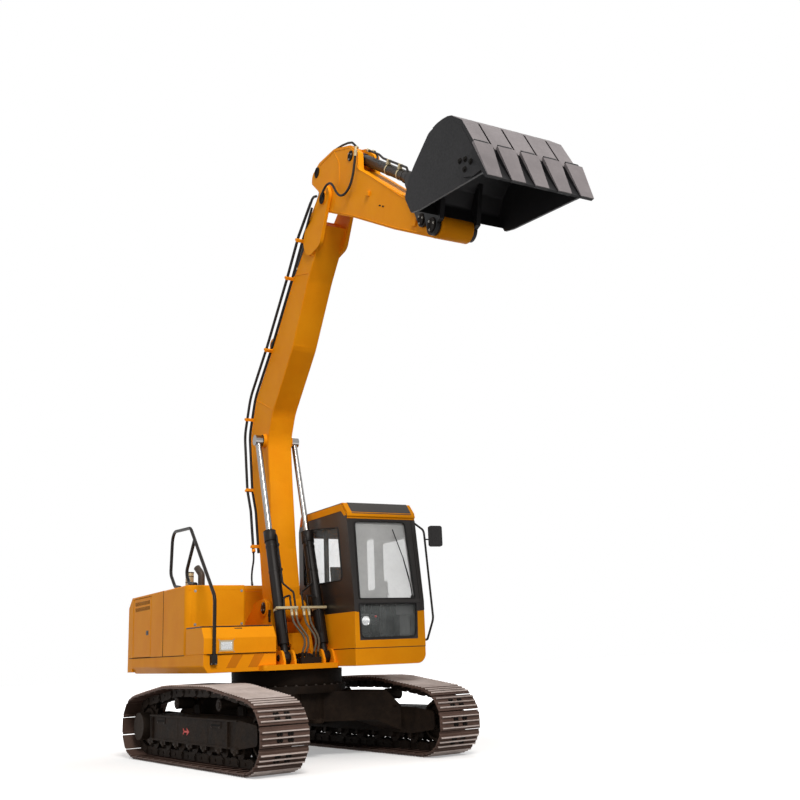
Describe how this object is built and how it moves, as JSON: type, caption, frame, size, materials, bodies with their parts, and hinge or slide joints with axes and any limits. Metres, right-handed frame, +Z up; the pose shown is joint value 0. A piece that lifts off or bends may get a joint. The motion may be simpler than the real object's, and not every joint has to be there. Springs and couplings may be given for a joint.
{
  "type": "crawler excavator",
  "caption": "Tracked excavator with a swinging upper structure, cab, one-piece boom, arm and bucket worked by hydraulic cylinders.",
  "frame": {"origin": "on the ground, below the middle of the machine's width, height box and length", "axes": "-Y ahead of the upper structure, +X to its left (the cab's side), +Z up; the tracks stand turned 6 degrees under it"},
  "size_m": [3.3955, 9.0926, 7.5769],
  "materials": {
    "black_paint": "satin black paint",
    "black_plastic": "matte",
    "bucket_paint": "dark grey paint",
    "chrome_rod": "polished",
    "dark_steel": "dull steel",
    "glass": "clear",
    "hose_rubber": "matte",
    "seat_fabric": "woven",
    "track_steel": "worn steel",
    "yellow_paint": "gloss paint"
  },
  "bodies": {
    "undercarriage": {"track_right": "track_steel", "track_left": "track_steel", "track_frame_right": "black_paint", "track_frame_left": "black_paint", "track_rollers_right": "dark_steel", "track_rollers_left": "dark_steel", "idler_right": "dark_steel", "idler_left": "dark_steel", "final_drive_right": "dark_steel", "final_drive_left": "dark_steel", "car_body": "black_paint", "slew_ring": "black_paint"},
    "house": {"main_frame": "yellow_paint", "platform_right": "yellow_paint", "platform_left": "yellow_paint", "toolbox": "yellow_paint", "fuel_tank": "yellow_paint", "side_panels": "yellow_paint", "counterweight": "yellow_paint", "engine": "black_paint", "swing_motor": "black_paint", "exhaust": "dark_steel", "air_precleaner": "black_plastic", "right_handrail": "black_paint", "cab_shell": "yellow_paint", "cab_base": "yellow_paint", "cab_glass": "glass", "operator_seat": "seat_fabric", "controls": "black_plastic", "cab_rail": "black_paint", "rear_mirror": "black_plastic", "lift_hose_1": "hose_rubber", "lift_hose_2": "hose_rubber", "lift_hose_3": "hose_rubber", "lift_hose_4": "hose_rubber"},
    "boom": {"boom": "yellow_paint", "boom_pipes": "black_paint", "drain_hose": "hose_rubber"},
    "arm": {"arm": "yellow_paint", "arm_hose": "hose_rubber"},
    "bucket": {"bucket": "bucket_paint"},
    "rocker_levers": {"rocker_levers": "black_paint"},
    "bucket_link": {"bucket_link": "black_paint"},
    "cab_door": {"cab_door": "yellow_paint", "cab_door_glass": "glass"},
    "engine_hood": {"engine_hood": "yellow_paint"},
    "pump_door": {"pump_door": "yellow_paint"},
    "cooler_door": {"cooler_door": "yellow_paint"},
    "filter_door": {"filter_door": "yellow_paint"},
    "toolbox_lid": {"toolbox_lid": "black_paint"},
    "boom_cylinder_right_tube": {"boom_cylinder_right_tube": "black_paint"},
    "boom_cylinder_right_rod": {"boom_cylinder_right_rod": "chrome_rod"},
    "boom_cylinder_left_tube": {"boom_cylinder_left_tube": "black_paint"},
    "boom_cylinder_left_rod": {"boom_cylinder_left_rod": "chrome_rod"},
    "arm_cylinder_tube": {"arm_cylinder_tube": "black_paint"},
    "arm_cylinder_rod": {"arm_cylinder_rod": "chrome_rod"},
    "bucket_cylinder_tube": {"bucket_cylinder_tube": "black_paint"},
    "bucket_cylinder_rod": {"bucket_cylinder_rod": "chrome_rod"}
  },
  "joints": [
    {"name": "swing", "type": "hinge", "parent": "undercarriage", "child": "house", "pos_m": [0, 1.54, 1.085], "axis": [0, 0, 1], "continuous": true},
    {"name": "boom_pivot", "type": "hinge", "parent": "house", "child": "boom", "pos_m": [0, 1.64, 1.88], "axis": [1, 0, 0], "range_deg": [-2, 90]},
    {"name": "arm_pivot", "type": "hinge", "parent": "boom", "child": "arm", "pos_m": [0, -0.31987, 6.9697], "axis": [-1, 0, 0], "range_deg": [-44, 68]},
    {"name": "bucket_pivot", "type": "hinge", "parent": "arm", "child": "bucket", "pos_m": [0, -3.01013, 5.49071], "axis": [1, 0, 0], "range_deg": [-8, 146]},
    {"name": "boom_cylinder_right_swivel", "type": "hinge", "parent": "house", "child": "boom_cylinder_right_tube", "pos_m": [-0.272, 0.94, 1.23], "axis": [1, 0, 0], "range_deg": [-1.81, 80.78]},
    {"name": "boom_cylinder_right_stroke", "type": "slide", "parent": "boom_cylinder_right_tube", "child": "boom_cylinder_right_rod", "axis": [0, 0.29, 0.957], "range_m": [-1.2999, 0.0294]},
    {"name": "boom_cylinder_left_swivel", "type": "hinge", "parent": "house", "child": "boom_cylinder_left_tube", "pos_m": [0.272, 0.94, 1.23], "axis": [1, 0, 0], "range_deg": [-1.81, 80.78]},
    {"name": "boom_cylinder_left_stroke", "type": "slide", "parent": "boom_cylinder_left_tube", "child": "boom_cylinder_left_rod", "axis": [0, 0.29, 0.957], "range_m": [-1.2999, 0.0294]},
    {"name": "arm_cylinder_swivel", "type": "hinge", "parent": "boom", "child": "arm_cylinder_tube", "pos_m": [0, 1.66914, 5.56673], "axis": [1, 0, 0], "range_deg": [-1.41, 0.92]},
    {"name": "arm_cylinder_stroke", "type": "slide", "parent": "arm_cylinder_tube", "child": "arm_cylinder_rod", "axis": [0, -0.6683, 0.7439], "range_m": [-0.5356, 0.3467]},
    {"name": "bucket_cylinder_swivel", "type": "hinge", "parent": "arm", "child": "bucket_cylinder_tube", "pos_m": [0, -1.02995, 7.24006], "axis": [1, 0, 0], "range_deg": [-1.93, 0.12]},
    {"name": "bucket_cylinder_stroke", "type": "slide", "parent": "bucket_cylinder_tube", "child": "bucket_cylinder_rod", "axis": [0, -0.8247, -0.5656], "range_m": [-0.0557, 1.0087]},
    {"name": "rocker_pivot", "type": "hinge", "parent": "arm", "child": "rocker_levers", "pos_m": [0, -2.72081, 5.68058], "axis": [1, 0, 0], "range_deg": [-5.92, 107.76]},
    {"name": "link_pivot", "type": "hinge", "parent": "bucket", "child": "bucket_link", "pos_m": [0, -2.90979, 5.9012], "axis": [1, 0, 0], "range_deg": [-95.08, 5.23]},
    {"name": "cab_door_hinge", "type": "hinge", "parent": "house", "child": "cab_door", "pos_m": [1.372, 1.394, 2], "axis": [0, 0, 1], "range_deg": [0, 165]},
    {"name": "engine_hood_hinge", "type": "hinge", "parent": "house", "child": "engine_hood", "pos_m": [0, 2.94, 2.186], "axis": [1, 0, 0], "range_deg": [0, 55]},
    {"name": "pump_door_hinge", "type": "hinge", "parent": "house", "child": "pump_door", "pos_m": [-1.371, 4.102, 1.74], "axis": [0, 0, -1], "range_deg": [0, 100]},
    {"name": "cooler_door_hinge", "type": "hinge", "parent": "house", "child": "cooler_door", "pos_m": [1.371, 4.102, 1.74], "axis": [0, 0, 1], "range_deg": [0, 100]},
    {"name": "filter_door_hinge", "type": "hinge", "parent": "house", "child": "filter_door", "pos_m": [1.371, 2.925, 1.74], "axis": [0, 0, -1], "range_deg": [-100, 0]},
    {"name": "toolbox_lid_hinge", "type": "hinge", "parent": "house", "child": "toolbox_lid", "pos_m": [-0.9, 1.526, 1.645], "axis": [-1, 0, 0], "range_deg": [0, 80]}
  ],
  "couplings": [
    {"joint": "boom_cylinder_right_swivel", "follows": "boom_pivot", "ratio": 0.8797},
    {"joint": "boom_cylinder_right_stroke", "follows": "boom_pivot", "m_per_rad": -0.81101},
    {"joint": "boom_cylinder_left_swivel", "follows": "boom_pivot", "ratio": 0.8797},
    {"joint": "boom_cylinder_left_stroke", "follows": "boom_pivot", "m_per_rad": -0.81101},
    {"joint": "arm_cylinder_swivel", "follows": "arm_pivot", "ratio": -0.02},
    {"joint": "arm_cylinder_stroke", "follows": "arm_pivot", "m_per_rad": -0.442},
    {"joint": "bucket_cylinder_swivel", "follows": "bucket_pivot", "ratio": -0.012834},
    {"joint": "bucket_cylinder_stroke", "follows": "bucket_pivot", "m_per_rad": 0.3879},
    {"joint": "rocker_pivot", "follows": "bucket_pivot", "ratio": 0.72345},
    {"joint": "link_pivot", "follows": "bucket_pivot", "ratio": -0.63831}
  ]
}
